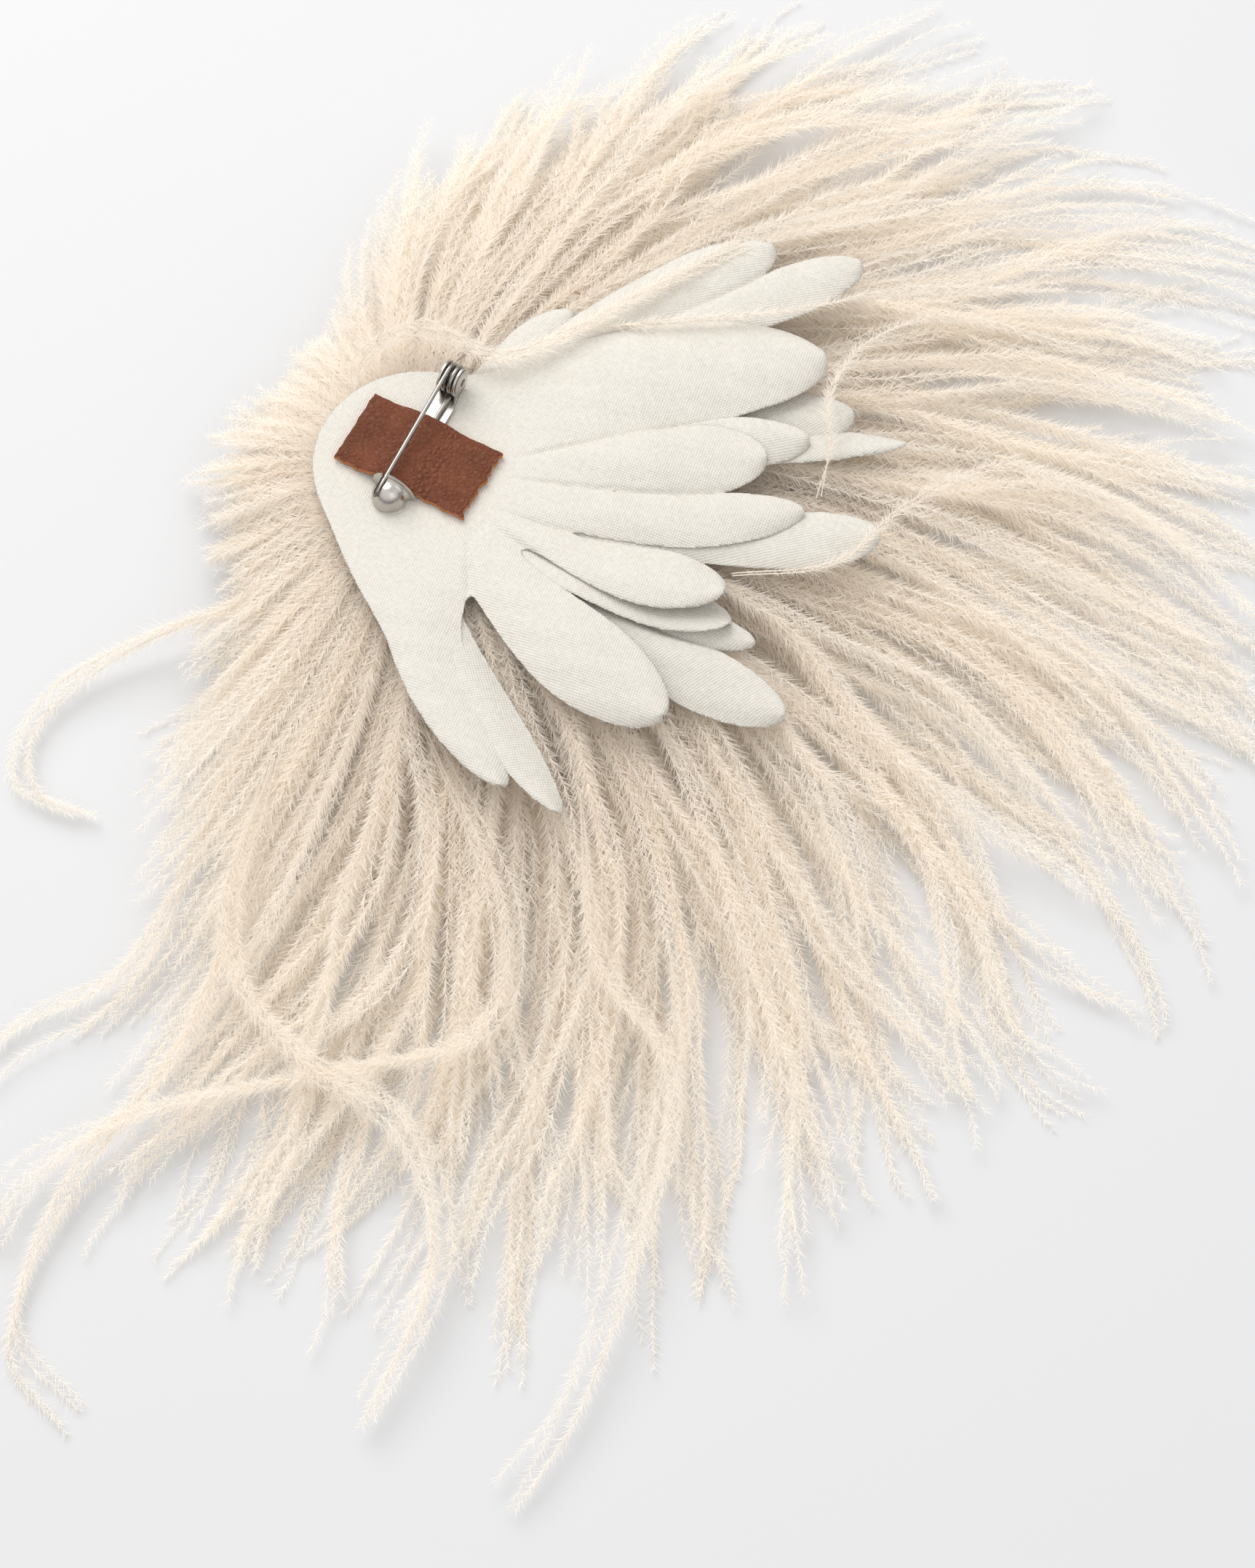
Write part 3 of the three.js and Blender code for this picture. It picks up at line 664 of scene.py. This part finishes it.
class Fluff:
    """Builds barbs and their barbules into one large mesh of triangles."""

    def __init__(self, rng, columns):
        self.rng = rng
        self.columns = columns
        self.column = 0
        self.store = {"points": [], "triangles": [], "uvs": [], "shades": []}
        self.count = 0

    def put(self, points, triangles, uvs, shades):
        """Adds points and their triangles, which are numbered from the first of these points."""
        values = {"points": points, "triangles": triangles + self.count, "uvs": uvs, "shades": shades}
        for key, value in values.items():
            self.store[key].append(value)
        self.count += len(points)

    def barb(self, path, barbule, width, pitch, tint, bare=0.05, shaft=0.3, spread=0.85):
        """One barb along a path, with barbules on both sides that are set a pitch apart."""
        length = np.concatenate([[0], np.cumsum(np.linalg.norm(np.diff(path, axis=0), axis=1))])
        tangent = unit(np.gradient(path, axis=0))
        self.shaft(path, tangent, length / length[-1], shaft, tint)
        for side in (-1, 1):
            count = int(length[-1] * (1 - bare) / pitch)
            share = bare + (1 - bare) * (np.arange(count) + self.rng.uniform(0, 1, count)) / count
            base = at(path, length, share * length[-1])
            along = unit(at(tangent, length, share * length[-1]))
            profile = np.minimum(1, (share - bare) * 8).clip(0.25, 1) * (1 - 0.4 * share ** 4)
            self.barbules(base, along, share, barbule * profile, width, tint, side, spread)
        self.column += 1

    def shaft(self, path, tangent, share, radius, tint):
        """The barb's own three-sided stem, which thins towards its tip."""
        n = len(path)
        across = unit(np.cross(tangent, [0.0, 0.0, 1.0]))
        up = np.cross(across, tangent)
        size = (radius / 2 * (1 - 0.8 * share))[:, None]
        rays = np.stack([across, -0.5 * across + 0.87 * up, -0.5 * across - 0.87 * up], axis=1)
        points = (path[:, None] + size[:, None] * rays).reshape(-1, 3)
        base = np.arange(n - 1)[:, None] * 3
        quads = []
        for k in range(3):
            j = (k + 1) % 3
            quads.append(np.concatenate([base + k, base + j, base + 3 + j], axis=1))
            quads.append(np.concatenate([base + k, base + 3 + j, base + 3 + k], axis=1))
        middle = (self.column + 0.5) / self.columns
        u = np.tile([middle, middle + 0.02 / self.columns, middle - 0.02 / self.columns], n)
        uvs = np.column_stack([u, np.repeat(share, 3)])
        # the stem darkens towards its root: partly the blush, partly painted shade deep in the fan
        shades = np.clip(np.repeat(0.5 + 0.4 * share, 3) + tint, 0, 1)
        self.put(points, np.concatenate(quads), uvs, shades)

    def barbules(self, base, tangent, share, length, width, tint, sign, spread):
        """Thin blades on one side of a barb, which lean towards its tip and spread round it."""
        rng, n = self.rng, len(base)
        flat = unit(np.cross(tangent, [0.0, 0.0, 1.0])) * sign
        up = np.cross(tangent, flat) * -sign
        roll = rng.normal(0, spread, n) + 0.5 * np.sin(share * 7 + tint * 40)
        away = np.cos(roll)[:, None] * flat + np.sin(roll)[:, None] * up
        lean = rng.normal(0.72, 0.2, n)
        start = np.cos(lean)[:, None] * tangent + np.sin(lean)[:, None] * away
        start = unit(start + rng.normal(0, 0.12, (n, 3)) - [0, 0, 0.08])
        tip = base + start * (length * rng.uniform(0.55, 1.15, n))[:, None]
        across = unit(np.cross(start, rng.normal(0, 0.25, (n, 3)) + [0, 0, 1])) * width / 2
        points = np.stack([base - across, base + across, tip], axis=1)
        points[:, :, 2] = np.maximum(points[:, :, 2], BARBULE_LOWEST)
        triangles = np.arange(3 * n).reshape(n, 3)
        cell = 1.0 / self.columns
        u = (self.column + 0.5) * cell + sign * cell * np.array([0.05, 0.05, 0.45])
        v = share[:, None] + 0.45 / n * np.array([-1, 1, 0])
        uvs = np.stack([np.tile(u, (n, 1)), v], axis=2).reshape(-1, 2)
        own = rng.normal(0, 0.06, n)[:, None]
        # the blades darken towards the barb's root and at their own bases by the stem: partly the blush,
        # partly painted shade deep in the fan and among the crowded blades
        shades = np.clip(0.35 + 0.4 * share[:, None] + own + np.array([-0.12, -0.12, 0.12]) + tint, 0, 1)
        self.put(points.reshape(-1, 3), triangles, np.clip(uvs, 0, 1), shades.ravel())

    def object(self, name):
        return new_triangles(name, **{key: np.concatenate(value) for key, value in self.store.items()})


def plume(name, rng, root, spread, reaches, kind, look):
    """One plume: clumps of barbs spread over its share of the fan, from its underside to its top.

    reaches are those of the plume before, of this one and of the one after.
    """
    clumps, size = kind["clumps"], kind["clump"]
    fluff = Fluff(rng, clumps * size)
    landing = kind["landing"](reaches[1])
    for k in range(clumps):
        level = ((k * 5) % clumps + 0.5) / clumps
        place = (k + rng.uniform(0.2, 0.8)) / clumps
        reach = np.interp(place, [-0.5, 0.5, 1.5], reaches)
        sway = (rng.uniform(0.3, 1.0) * kind["sway"], rng.uniform(90, 190), rng.uniform(0, 2 * math.pi))
        clump_reach = reach * rng.uniform(*kind["lengths"]) * (1 - 0.1 * level)
        tint = rng.normal(0, 0.08)
        for _ in range(size):
            own = clump_reach * rng.uniform(0.88, 1.0)
            aside = root - spread * place + rng.normal(0, kind["clump_spread"])
            height = np.clip(level + rng.normal(0, 0.07), 0.02, 1.0) * kind["fill"]
            path = barb_path(rng, aside, own, landing, height, sway)
            pitch = kind["pitch"] * (1.5 - 0.5 * level)
            fluff.barb(path, kind["barbule"], kind["width"], pitch, tint + rng.normal(0, 0.05), kind["bare"])
    made = fluff.object(name + "_barbs")
    finish_piece(made, look, nodes=[name])


# A plume's kind: how many clumps of how many barbs, how far a clump spreads in degrees, how long its barbs
# are as shares of the reach, how much of the fan's height they fill, how far they sway, how far apart the
# barbules are set, their length and width, the bare share at the root, and where the lowest barbs land.
LONG = dict(
    clumps=16, clump=5, clump_spread=0.6, lengths=(0.76, 1.02), fill=0.95, sway=13.0, pitch=0.42, barbule=4.0,
    width=0.18, bare=0.04, landing=lambda reach: 105.0,
)
SHORT = dict(
    clumps=20, clump=5, clump_spread=1.4, lengths=(0.7, 1.0), fill=0.95, sway=3.0, pitch=0.34, barbule=4.2,
    width=0.16, bare=0.1, landing=lambda reach: reach,
)


def feathers(look):
    """The plumes side by side, clockwise, in two sizes."""
    around = LONG_REACHES + SHORT_REACHES
    longs, shorts = len(LONG_REACHES), len(SHORT_REACHES)
    sets = (
        ("long_plume", FAN_START, LONG_SPREAD, 0, longs, LONG),
        ("short_plume", FAN_START - LONG_SPREAD, 360 - LONG_SPREAD, longs, shorts, SHORT),
    )
    for prefix, first, spread, start, count, kind in sets:
        width = spread / count
        for i in range(count):
            rng = np.random.default_rng(PLUME_SEED + start + i)
            reaches = [around[(start + i + k) % len(around)] for k in (-1, 0, 1)]
            plume(f"{prefix}_{i + 1}", rng, first - width * i, width, reaches, kind, look)


# Barbs that stray over the satin or away from the fan: how many lie together, how far apart they spread, and
# points (distance, direction, height) about the hub's centre.
STRAY_BARBS = [
    (4, 2.2, [
        (20, 130, 25), (27, 116, 28), (31, 98, 30.5), (31, 84, 31), (29, 70, 31), (33, 52, 30.5),
        (50, 43, 29), (74, 41, 25), (100, 39, 20), (135, 34, 14),
    ]),
    (2, 1.4, [
        (46, 46, 27), (62, 33, 27.5), (76, 28, 27), (92, 25, 25.5), (115, 24, 20), (150, 20, 12),
    ]),
    (2, 0.7, [
        (84, -4, 23), (87, 4, 25), (88, 10, 26), (93, 15, 25), (103, 19, 22), (122, 20, 17),
        (150, 14, 11),
    ]),
    (2, 0.8, [
        (70, -20, 23), (90, -14, 24), (104, -4, 22), (126, 2, 17), (156, -2, 12), (186, -10, 8),
    ]),
    (4, 1.6, [
        (24, 200, 23), (41, 216, 14), (63, 209, 8), (84, 209, 4), (98, 213, 3), (103, 219, 3),
        (98, 226, 2.5),
    ]),
    (4, 2.0, [
        (40, 236, 17), (80, 240, 10), (118, 241, 5), (140, 236, 3), (158, 235, 2.5),
    ]),
    (5, 2.0, [
        (50, 268, 20), (66, 275, 19), (100, 281, 17), (123, 276, 15), (132, 262, 13), (147, 249, 10),
        (166, 243, 6), (184, 243, 3),
    ]),
    (5, 2.0, [
        (70, 246, 18), (108, 250, 15), (128, 260, 14), (142, 270, 13), (168, 272, 9), (198, 268, 5),
    ]),
    (4, 2.5, [
        (90, 250, 15), (130, 250, 11), (164, 246, 6), (195, 247, 3), (206, 252, 2.5),
    ]),
    (4, 2.0, [
        (80, 296, 17), (112, 290, 15), (140, 292, 13), (168, 286, 9), (196, 280, 5), (212, 276, 3),
    ]),
]


def smooth_path(points, step=1.5):
    """A smooth line through points, as a Catmull-Rom spline."""
    points = np.asarray(points, float)
    ends = [2 * points[0] - points[1], *points, 2 * points[-1] - points[-2]]
    line = []
    for a, b, c, d in zip(ends, ends[1:], ends[2:], ends[3:]):
        count = max(3, int(np.linalg.norm(c - b) / step))
        for t in np.arange(count) / count:
            line.append(0.5 * (2 * b + (c - a) * t + (2 * a - 5 * b + 4 * c - d) * t ** 2
                               + (3 * b - a - 3 * c + d) * t ** 3))
    return np.array(line + [points[-1]])


def stray_barbs(look):
    """The few barbs that lie over the satin or away from the fan."""
    rng = np.random.default_rng(STRAY_SEED)
    fluff = Fluff(rng, sum(copies for copies, _, _ in STRAY_BARBS))
    for copies, apart, route in STRAY_BARBS:
        distance, direction, height = np.array(route, float).T
        line = np.column_stack([*about_hub(distance, np.radians(direction)), height])
        for _ in range(copies):
            drift = np.linspace(0.5, 1, len(line))[:, None] * rng.normal(0, apart, (1, 3))
            loose = (drift + rng.normal(0, 0.35 * apart, line.shape)) * [1, 1, 0.3]
            path = smooth_path(line + loose)
            tint = rng.normal(0.08, 0.05)
            fluff.barb(path, barbule=4.0, width=0.14, pitch=0.34, tint=tint, bare=0.02)
    made = fluff.object("stray_barbs")
    finish_piece(made, look)


def face_ruff(look):
    """The short feathers on the face, which the brooch lies on."""
    rng = np.random.default_rng(RUFF_SEED)
    fluff = Fluff(rng, RUFF_BARBS)
    for k in range(RUFF_BARBS):
        angle = 2 * math.pi * (k + rng.uniform(0, 1)) / RUFF_BARBS
        share = np.linspace(0, 1, 16)
        level = rng.uniform(0.0, 1.0)
        distance = lerp(12.0, rng.uniform(33, 40), share)
        height = lerp(lerp(17.0, 3.0, share ** 0.8), 2.5, 1 - level) + rng.normal(0, 0.4)
        turn = angle - 0.25 * share ** 2
        path = np.column_stack([*about_hub(distance, turn), np.maximum(height, 1.2)])
        fluff.barb(path, barbule=4.0, width=0.14, pitch=0.3, tint=rng.normal(-0.05, 0.08))
    made = fluff.object("face_ruff_barbs")
    finish_piece(made, look, nodes=["face_ruff"])


# ---- Pin ----
HOOD_NECK = 0.42  # depth of the groove behind the hood's mouth
HOOD_LIP = 0.7  # how far the flared rim stands out in front of the mouth
RIVET_BORE = 1.1  # radius of the rivet's hollow
RIVET_HALF = 1.75  # half of the length between its heads
HEAD_HOLLOW = 0.9  # radius of the dimple in each head
HEAD_RISE = 0.35


def pin_place(points):
    """From the pin's own frame to the brooch's."""
    turn = math.radians(PIN_TURN)
    x, y, z = np.asarray(points, float).T
    return np.column_stack([
        x * math.cos(turn) - y * math.sin(turn),
        x * math.sin(turn) + y * math.cos(turn),
        z + BACK_HEIGHT,
    ])


def bevelled(obj, width, segments=2, angle=35):
    """Rounds the edges that are sharper than an angle."""
    bevel = obj.modifiers.new("soft edges", "BEVEL")
    bevel.width = width * MM
    bevel.segments = segments
    bevel.limit_method = "ANGLE"
    bevel.angle_limit = math.radians(angle)
    bevel.harden_normals = True


def ear_outline():
    """An ear from the side, (x, z): round at the top, tapering into the strip."""
    points = []
    for k in range(41):
        a = math.radians(-35 + 250 * k / 40)
        points.append((RIVET_X + EAR_RADIUS * math.cos(a), RIVET_HEIGHT + EAR_RADIUS * math.sin(a)))
    points.append((RIVET_X - EAR_RADIUS * 0.5, STRIP_BOTTOM))
    points.append((RIVET_X + EAR_RADIUS * 0.75, STRIP_BOTTOM))
    return points


def strip_outline():
    """The strip from above, (x, y): narrow between the ears, wide at the shoulder."""
    half = STRIP_WIDTH / 2
    outer = EAR_INSIDE + EAR_THICKNESS
    shoulder = RIVET_X + EAR_RADIUS * 1.45
    right = [(RIVET_X - 1.4, -outer), (RIVET_X + EAR_RADIUS / 2, -outer)]
    right += [(shoulder - 0.6, -half + 0.25), (shoulder, -half), (HOOD_MOUTH + HOOD_WALL, -half)]
    return right + [(x, -y) for x, y in reversed(right)]


def pin_base(look):
    """The strip with its two ears, and the catch hood at its other end."""
    parts = Parts()
    parts.add(*extrude(strip_outline(), 2, STRIP_BOTTOM, STRIP_BOTTOM + STRIP_THICKNESS))
    for side in (-1, 1):
        low, high = sorted((side * EAR_INSIDE, side * (EAR_INSIDE + EAR_THICKNESS)))
        parts.add(*extrude(ear_outline(), 1, low, high))
    made = parts.object("pin_base_strip", pin_place, 30)
    bevelled(made, 0.1)
    finish_piece(made, look)
    hood = catch_hood()
    finish_piece(hood, look)
    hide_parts("pin_base")


def catch_hood():
    """The catch: half a dome, a groove behind its mouth, a flared rim and a slot over the needle."""
    rings, lip, sides = 26, 10, 96
    points, index, faces = [], {}, []
    slot_low = RIVET_HEIGHT + COIL_RADIUS - NEEDLE_DROP - 2 * WIRE
    for i in range(-lip, rings + 1):
        lead = math.pi / 2 * max(i, 0) / rings
        out = max(0.0, -i / lip)
        flare = (HOOD_RIM + HOOD_WALL / 2) * smoothstep(out, 0.35, 1.0)
        groove = -HOOD_NECK * math.exp(-((i - 2.5) / 3.0) ** 2)
        for k in range(sides + 1):
            a = math.pi * k / sides
            x = HOOD_MOUTH + 0.75 + (HOOD_LENGTH - 1.0) * math.sin(lead) - HOOD_LIP * out
            swell = flare + groove
            y = HOOD_OFFSET + ((HOOD_HALF_WIDTH - HOOD_WALL / 2) * math.cos(lead) + swell) * math.cos(a)
            z = STRIP_BOTTOM + ((HOOD_HEIGHT - HOOD_WALL / 2) * math.cos(lead) + swell) * math.sin(a)
            index[i, k] = len(points)
            points.append((x, y, max(z, STRIP_BOTTOM)))
    for i in range(-lip, rings):
        for k in range(sides):
            corners = [index[i, k], index[i + 1, k], index[i + 1, k + 1], index[i, k + 1]]
            middle = np.mean([points[c] for c in corners], axis=0)
            over_needle = abs(middle[1] + TURN_SPACING / 2) < SLOT_HALF
            if over_needle and middle[0] < NEEDLE_REACH + 0.6 and middle[2] > slot_low:
                continue
            faces.append(corners)
    hood = new_object("catch_hood", pin_place(points), faces, 180)
    solid = hood.modifiers.new("wall", "SOLIDIFY")
    solid.thickness = HOOD_WALL * 0.8 * MM
    solid.offset = 0
    bevelled(hood, 0.1, 2, 50)
    return hood


def ring_profile(inner, outer, low, high, round_by=0.12):
    """A closed profile of (distance, y) with small rounds."""
    r = round_by
    return [
        (inner, low + r), (inner + r, low), (outer - r, low), (outer, low + r),
        (outer, high - r), (outer - r, high), (inner + r, high), (inner, high - r),
    ]


def hinge_rivet(look):
    """The hollow rivet through both ears and the coil, with a rolled head outside each ear."""
    centre = (RIVET_X, 0.0, RIVET_HEIGHT)
    parts = Parts()
    parts.add(*lathe_y(ring_profile(RIVET_BORE, RIVET_RADIUS, -RIVET_HALF, RIVET_HALF), centre))
    for side in (-1, 1):
        face = side * (EAR_INSIDE + EAR_THICKNESS + 0.08)
        profile = []
        for k in range(9):
            a = math.pi / 2 * k / 8
            radius = HEAD_HOLLOW + (RIVET_HEAD_RADIUS - HEAD_HOLLOW) * math.cos(a)
            profile.append((radius, face + side * HEAD_RISE * math.sin(a)))
        profile += [(HEAD_HOLLOW, face)]
        parts.add(*lathe_y(profile if side > 0 else profile[::-1], centre))
    made = parts.object("hinge_rivet_turned", pin_place, 40)
    finish_piece(made, look, nodes=["hinge_rivet"])


def coil_points(y0, y1, start, turns, count=80):
    """One stretch of the coil about the rivet, from y0 to y1. Angles are from +X towards +Z."""
    share = np.linspace(0, 1, count)
    angle = np.radians(start) + 2 * math.pi * turns * share
    return np.column_stack([
        RIVET_X + COIL_RADIUS * np.cos(angle),
        lerp(y0, y1, share),
        RIVET_HEIGHT + COIL_RADIUS * np.sin(angle),
    ])


def pin_needle(look):
    """A turn of the coil, then the needle, which leaves its top and tapers to the point."""
    slope = math.atan(NEEDLE_DROP / (HOOD_MOUTH - RIVET_X))
    middle = -TURN_SPACING / 2
    coil = coil_points(middle + 0.1, middle - 0.05, 90 - math.degrees(slope) + 345, -0.96)
    start = coil[-1]
    length = (NEEDLE_REACH - start[0]) / math.cos(slope)
    point_start = length - NEEDLE_POINT
    run = np.concatenate([np.linspace(0.6, point_start, 24), np.linspace(point_start, length, 12)[1:]])
    line = start + np.outer(run, [math.cos(slope), 0.0, -math.sin(slope)])
    radii = np.full(len(coil) + len(line), WIRE / 2)
    taper = np.clip((run - point_start) / NEEDLE_POINT, 0, 1)
    radii[len(coil):] = WIRE / 2 * np.sqrt(1 - 0.97 * taper ** 1.6)
    parts = Parts()
    parts.add(*tube(np.concatenate([coil, line]), radii, 16))
    made = parts.object("pin_needle_wire", pin_place, 50)
    finish_piece(made, look, body="needle", nodes=["pin_needle"])


def spring_leg(look):
    """The other turn of the coil and the fixed leg along the strip."""
    middle = TURN_SPACING / 2
    coil = coil_points(middle - 0.1, middle, 270 + 345, -0.958)
    end = coil[-1]
    line = end + np.outer(np.linspace(0.5, LEG_LENGTH, 12), [1.0, 0.0, 0.0])
    parts = Parts()
    parts.add(*tube(np.concatenate([coil, line]), WIRE / 2, 16))
    made = parts.object("spring_leg_wire", pin_place, 50)
    finish_piece(made, look, nodes=["spring_leg"])


# ---- Leather tab ----
HIDE_SEED = 5


def arch(y):
    """Height of the leather's underside, which rises over the strip."""
    away = np.maximum(0.0, np.abs(y) - (STRIP_WIDTH / 2 + 0.3))
    return 0.3 + ARCH_RISE * (1 - smoothstep(away, 0, ARCH_SLOPE))


def leather_tab(look, edge_look):
    """A piece of hide with hand-cut, slightly ragged edges, arched over the strip."""
    across, along = 66, 112
    rng = np.random.default_rng(HIDE_SEED)
    ragged = {side: np.convolve(rng.normal(0, 1, along + 40), np.ones(5) / 5, "same") for side in range(4)}
    top = np.zeros((across + 1, along + 1, 3))
    for i in range(across + 1):
        for j in range(along + 1):
            u, v = 2 * i / across - 1, 2 * j / along - 1
            x = LEATHER_AHEAD + LEATHER_WIDTH / 2 * u
            y = LEATHER_ASIDE + LEATHER_LENGTH / 2 * v
            near_x, near_y = abs(u) ** 12, abs(v) ** 12
            x += math.copysign(1, u) * near_x * (0.3 if u > 0 else 0.12) * ragged[0 if u < 0 else 1][j + 10]
            y += math.copysign(1, v) * near_y * (0.55 if v > 0 else 0.12) * ragged[2 if v < 0 else 3][i + 10]
            top[i, j] = (x, y, arch(y) + LEATHER_THICKNESS)
    i, j = np.indices(top.shape[:2])
    edge = np.minimum.reduce([i, across - i, j, along - j])
    top[:, :, 2] -= 0.16 * np.exp(-edge / 1.2)
    under = top.copy()
    under[:, :, 2] = arch(under[:, :, 1])
    points = np.concatenate([top.reshape(-1, 3), under.reshape(-1, 3)])
    row, half = along + 1, (across + 1) * (along + 1)
    grid = [[i * row + j, (i + 1) * row + j, (i + 1) * row + j + 1, i * row + j + 1]
            for i in range(across) for j in range(along)]
    rim = [i * row for i in range(across + 1)] + [across * row + j for j in range(1, along + 1)]
    rim += [i * row + along for i in range(across - 1, -1, -1)] + [j for j in range(along - 1, 0, -1)]
    sides = [[a, a + half, b + half, b] for a, b in zip(rim, rim[1:] + rim[:1])]
    faces = grid + sides + [[c + half for c in face[::-1]] for face in grid]
    made = new_object("leather_tab_hide", pin_place(points), faces, 50)
    finish_piece(made, look, nodes=["leather_tab"])
    made.data.materials.append(edge_look)
    raw = np.zeros(len(faces), np.int32)
    raw[len(grid):] = 1
    made.data.polygons.foreach_set("material_index", raw)


# ---- Stage ----
FLOOR_HALF = 3000
CAMERA_DOWN = 66  # how far below the horizontal the camera looks, in degrees


def floor():
    corners = [(sx * FLOOR_HALF, sy * FLOOR_HALF, 0) for sx, sy in ((-1, -1), (1, -1), (1, 1), (-1, 1))]
    obj = new_object("floor", corners, [[0, 1, 2, 3]])
    look = Look("floor", (0.60, 0.60, 0.605), 0.6)
    obj.data.materials.append(look.material)


def area_light(name, place, target, size, power):
    lamp = bpy.data.lights.new(name, "AREA")
    lamp.shape = "SQUARE"
    lamp.size = size
    lamp.energy = power
    obj = bpy.data.objects.new(name, lamp)
    bpy.context.scene.collection.objects.link(obj)
    obj.location = place
    obj.rotation_euler = (Vector(target) - Vector(place)).to_track_quat("-Z", "Y").to_euler()


def world():
    """A studio that is white overhead and dark at the horizon."""
    made = bpy.data.worlds.new("studio")
    bpy.context.scene.world = made
    made.use_nodes = True
    nodes, links = made.node_tree.nodes, made.node_tree.links
    where = nodes.new("ShaderNodeTexCoord")
    split = nodes.new("ShaderNodeSeparateXYZ")
    ramp = nodes.new("ShaderNodeValToRGB")
    ramp.color_ramp.elements[0].position = 0.02
    ramp.color_ramp.elements[0].color = (0.10, 0.10, 0.105, 1)
    ramp.color_ramp.elements[1].position = 0.42
    ramp.color_ramp.elements[1].color = (1, 1, 1, 1)
    links.new(where.outputs["Generated"], split.inputs[0])
    links.new(split.outputs["Z"], ramp.inputs["Fac"])
    links.new(ramp.outputs["Color"], nodes["Background"].inputs["Color"])
    nodes["Background"].inputs["Strength"].default_value = 0.98


def camera():
    data = bpy.data.cameras.new("camera")
    data.sensor_fit = "VERTICAL"
    data.sensor_height = 30
    data.lens = 70
    data.clip_start = 0.01
    obj = bpy.data.objects.new("camera", data)
    bpy.context.scene.collection.objects.link(obj)
    obj.location = (0.044, -0.377, 0.700)
    obj.rotation_euler = (math.radians(90 - CAMERA_DOWN), 0, 0)
    bpy.context.scene.camera = obj


def stage():
    floor()
    world()
    area_light("window", (-0.5, 1.0, 1.3), (0.03, -0.02, 0), size=1.4, power=22)
    area_light("front_fill", (0.6, -1.2, 1.2), (0.03, -0.05, 0), size=1.2, power=2)
    bpy.context.scene.view_settings.view_transform = "Standard"
    bpy.context.scene.cycles.diffuse_bounces = 6  # light passes many barbules before it leaves the plumes
    camera()


# ---- Assembly ----
def brooch():
    nickel = nickel_look("nickel", 1.0)
    pin_base(nickel)
    hinge_rivet(nickel)
    wire = nickel_look("wire", 0.62)
    pin_needle(wire)
    spring_leg(wire)
    leather_tab(leather_look(), leather_edge_look())
    layers = (
        ("satin_upper", UPPER_PETALS, 20, "satin_middle_layer_sheet"),
        ("satin_middle", MIDDLE_PETALS, 75, "satin_lower_layer_sheet"),
        ("satin_lower", LOWER_PETALS, -35, "felt_pad"),
    )
    for level, (name, petals, weave_turn, rests_on) in enumerate(layers):
        satin_sheet(name + "_layer", petals, level, satin_look(name, weave_turn))
    felt = felt_look()
    for node in ("felt_pad", "face_felt"):
        frame["nodes"][node].data.materials.clear()
        frame["nodes"][node].data.materials.append(felt)
    feather = feather_look()
    feathers(feather)
    face_ruff(feather)
    stray_barbs(feather)


stage()
brooch()
